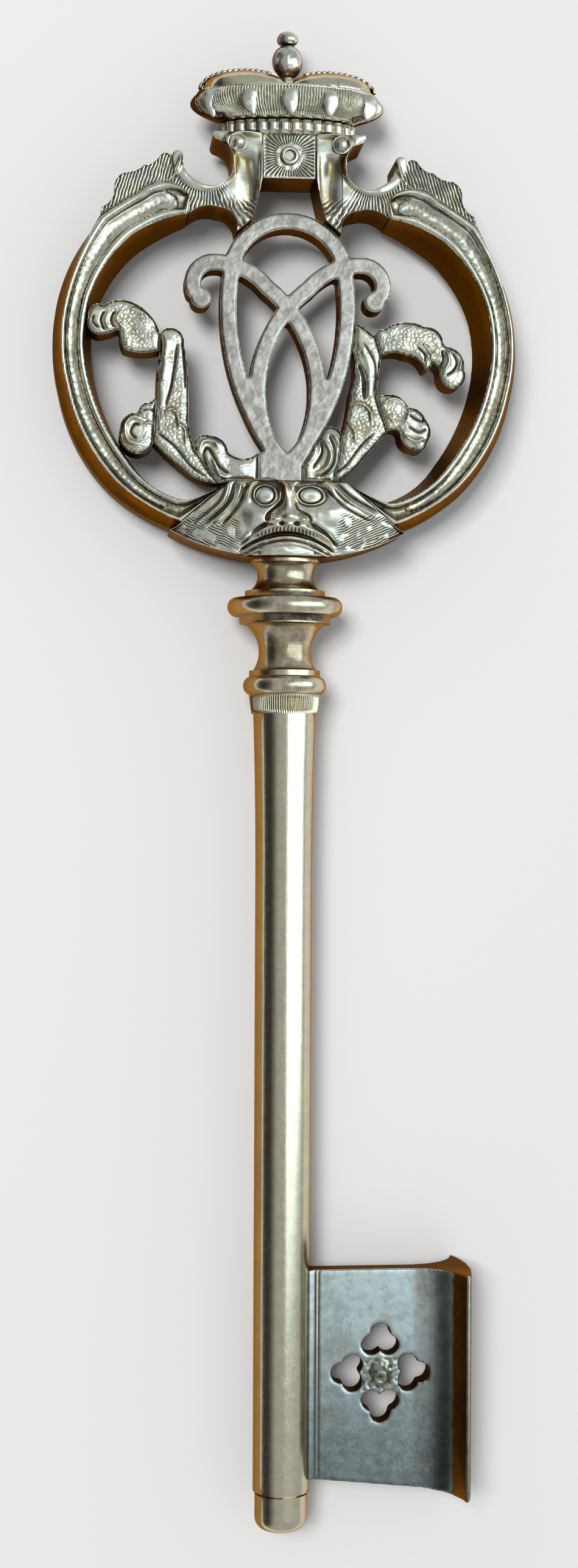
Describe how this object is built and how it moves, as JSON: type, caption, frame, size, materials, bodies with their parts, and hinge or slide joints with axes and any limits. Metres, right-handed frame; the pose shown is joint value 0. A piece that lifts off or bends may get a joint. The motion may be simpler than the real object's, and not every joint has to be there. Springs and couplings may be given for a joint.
{
  "type": "chamberlain key",
  "caption": "Large ceremonial key of gilt brass with a crowned, pierced bow of scrolls and leaves, a grotesque mask, a turned collar and a plain pierced bit.",
  "frame": {"origin": "middle of the key's length and width, on the table it lies on, face up", "axes": "+Y from the tip to the crown, +X towards the middle of the bit's side, +Z out of the face"},
  "size_m": [0.051, 0.1644, 0.0127],
  "materials": {
    "turned_gilt": "turned brass, gilt and worn, with fine lengthwise scratches and dark patina in the joints",
    "bit_gilt": "flat brass plate, gilding worn off the face, mottled grey-brown patina, brighter at the rim",
    "cast_gilt": "cast and chased brass, gilding worn to pale silver-gold on the high spots, brown patina in the hollows"
  },
  "bodies": {
    "root": {"shank": "turned_gilt", "tip_knob": "turned_gilt", "ferrule": "turned_gilt", "collar": "turned_gilt", "orb": "turned_gilt", "orb_ball": "turned_gilt", "plaque_boss": "turned_gilt", "bit_plate": "bit_gilt", "left_arm": "cast_gilt", "right_arm": "cast_gilt", "left_shoulder": "cast_gilt", "right_shoulder": "cast_gilt", "left_volute": "cast_gilt", "right_volute": "cast_gilt", "pendant_plaque": "cast_gilt", "crown_base": "cast_gilt", "crown_brim": "cast_gilt", "brim_tails": "cast_gilt", "crown_cap": "cast_gilt", "left_cap_arch": "cast_gilt", "right_cap_arch": "cast_gilt", "strapwork_knot": "cast_gilt", "left_foot_scroll": "cast_gilt", "left_stem": "cast_gilt", "left_lower_leaf": "cast_gilt", "left_upper_leaf": "cast_gilt", "right_foot_scroll": "cast_gilt", "right_stem": "cast_gilt", "right_lower_leaf": "cast_gilt", "right_upper_leaf": "cast_gilt", "mask": "cast_gilt"}
  },
  "joints": []
}
